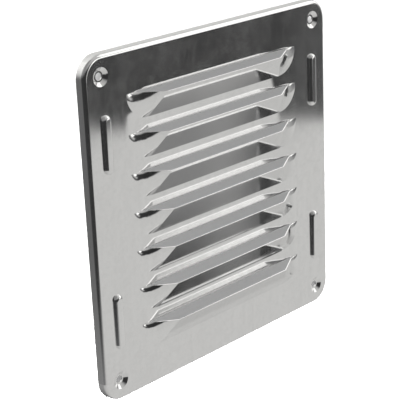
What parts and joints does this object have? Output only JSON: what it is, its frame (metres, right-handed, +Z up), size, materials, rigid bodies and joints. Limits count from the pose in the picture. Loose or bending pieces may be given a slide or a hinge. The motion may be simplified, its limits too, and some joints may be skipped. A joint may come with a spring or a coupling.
{
  "type": "louvred vent panel",
  "caption": "Square wall vent panel pressed from thin sheet: turned-back rim, sunk corner screw holes, raised edge beads and a column of outward louvre hoods.",
  "frame": {"origin": "centre of the four screw holes, halfway through the sheet where the screws pass", "axes": "+X across the panel to the right as seen from the front, +Z up with the louvre mouths opening upwards, -Y out of the visible face towards the viewer"},
  "size_m": [0.2, 0.0152, 0.2],
  "materials": {
    "sheet": "bright rolled sheet with a fine vertical grain, bare"
  },
  "bodies": {
    "root": {"louvred_panel": "sheet"}
  },
  "joints": []
}
